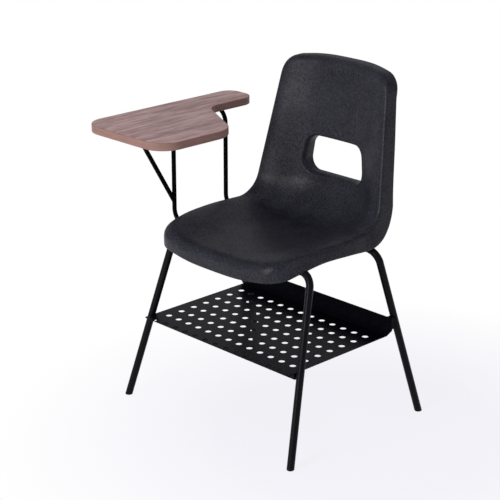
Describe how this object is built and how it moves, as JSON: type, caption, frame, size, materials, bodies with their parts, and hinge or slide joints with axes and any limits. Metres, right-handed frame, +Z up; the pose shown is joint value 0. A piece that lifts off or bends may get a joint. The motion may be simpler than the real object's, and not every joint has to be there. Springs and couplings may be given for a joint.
{
  "type": "tablet arm classroom chair",
  "caption": "Moulded plastic shell chair on a splayed steel tube frame, with a fixed wooden writing tablet on the sitter's right and a pierced sheet book rack between the legs.",
  "frame": {"origin": "middle of the outer box of the whole chair, on the floor", "axes": "+Z up, -Y to the front of the chair, +X to the sitter's left (the tablet is on the -X side)"},
  "size_m": [0.5664, 0.5088, 0.7459],
  "materials": {
    "shell_plastic": "fine moulded grain, satin",
    "frame_paint": "black powder coat, satin",
    "rack_paint": "black powder coat, satin",
    "glide_plastic": "moulded",
    "screw_steel": "zinc plated",
    "bolt_black": "black zinc",
    "tablet_wood_top": "wood-grain laminate, matt",
    "tablet_wood_edge": "wood-grain edge band, matt",
    "tablet_backing": "plain backing laminate",
    "tablet_board": "particle board"
  },
  "bodies": {
    "root": {"seat_shell": "shell_plastic", "front_leg_frame": "frame_paint", "rear_leg_frame": "frame_paint", "foot_glide_front_left": "glide_plastic", "foot_glide_front_right": "glide_plastic", "foot_glide_rear_left": "glide_plastic", "foot_glide_rear_right": "glide_plastic", "seat_strap_left": "frame_paint", "seat_strap_right": "frame_paint", "shell_screws": "screw_steel", "shell_washers": "screw_steel", "tablet_front_upright": "frame_paint", "tablet_rear_upright": "frame_paint", "tablet_brace": "frame_paint", "tablet_plate_front": "frame_paint", "tablet_plate_rear": "frame_paint", "tablet_plate_brace": "frame_paint", "tablet_bottom_laminate": "tablet_backing", "tablet_core": "tablet_board", "tablet_top_laminate": "tablet_wood_top", "tablet_edge_band": "tablet_wood_edge", "tablet_screws": "screw_steel", "book_rack": "rack_paint", "rack_front_bolts": "bolt_black", "rack_front_nuts": "bolt_black", "rack_rear_bolts": "bolt_black", "rack_rear_nuts": "bolt_black", "rack_rear_spacers": "bolt_black"}
  },
  "joints": []
}
